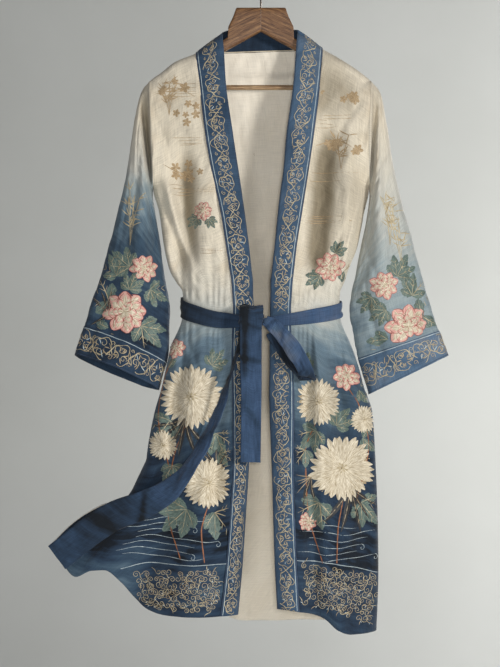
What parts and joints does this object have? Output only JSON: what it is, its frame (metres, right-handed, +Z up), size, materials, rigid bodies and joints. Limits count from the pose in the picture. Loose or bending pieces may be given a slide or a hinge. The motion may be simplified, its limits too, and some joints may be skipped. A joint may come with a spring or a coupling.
{
  "type": "kimono robe on a clothes hanger",
  "caption": "Long open-front kimono robe with a patterned band down each edge and a tied cloth belt, hung on a wooden clothes hanger with one skirt corner blown outwards.",
  "frame": {"origin": "inside top of the hanger's hook, where it rests on a rail", "axes": "+Z up, front of the robe towards -Y, +X towards the viewer's right seen from the front"},
  "size_m": [0.8041, 0.2199, 1.3385],
  "materials": {
    "linen": "washed linen dyed from cream at the shoulders to deep indigo at the hem",
    "border": "indigo linen band with a tan thread scroll",
    "sash": "plain slubbed indigo linen",
    "wood": "stained, waxed, satin",
    "wire": "dark bronze plated"
  },
  "bodies": {
    "root": {"back": "linen", "front_right": "linen", "front_left": "linen", "sleeve_right": "linen", "sleeve_left": "linen", "cuff_right": "border", "cuff_left": "border", "collar": "border", "belt_wrap": "sash", "belt_knot": "sash", "belt_tail_front": "sash", "belt_tail_blown": "sash", "belt_loop": "sash", "hanger_arm_right": "wood", "hanger_arm_left": "wood", "hanger_bar": "wood", "hanger_hook": "wire"}
  },
  "joints": []
}
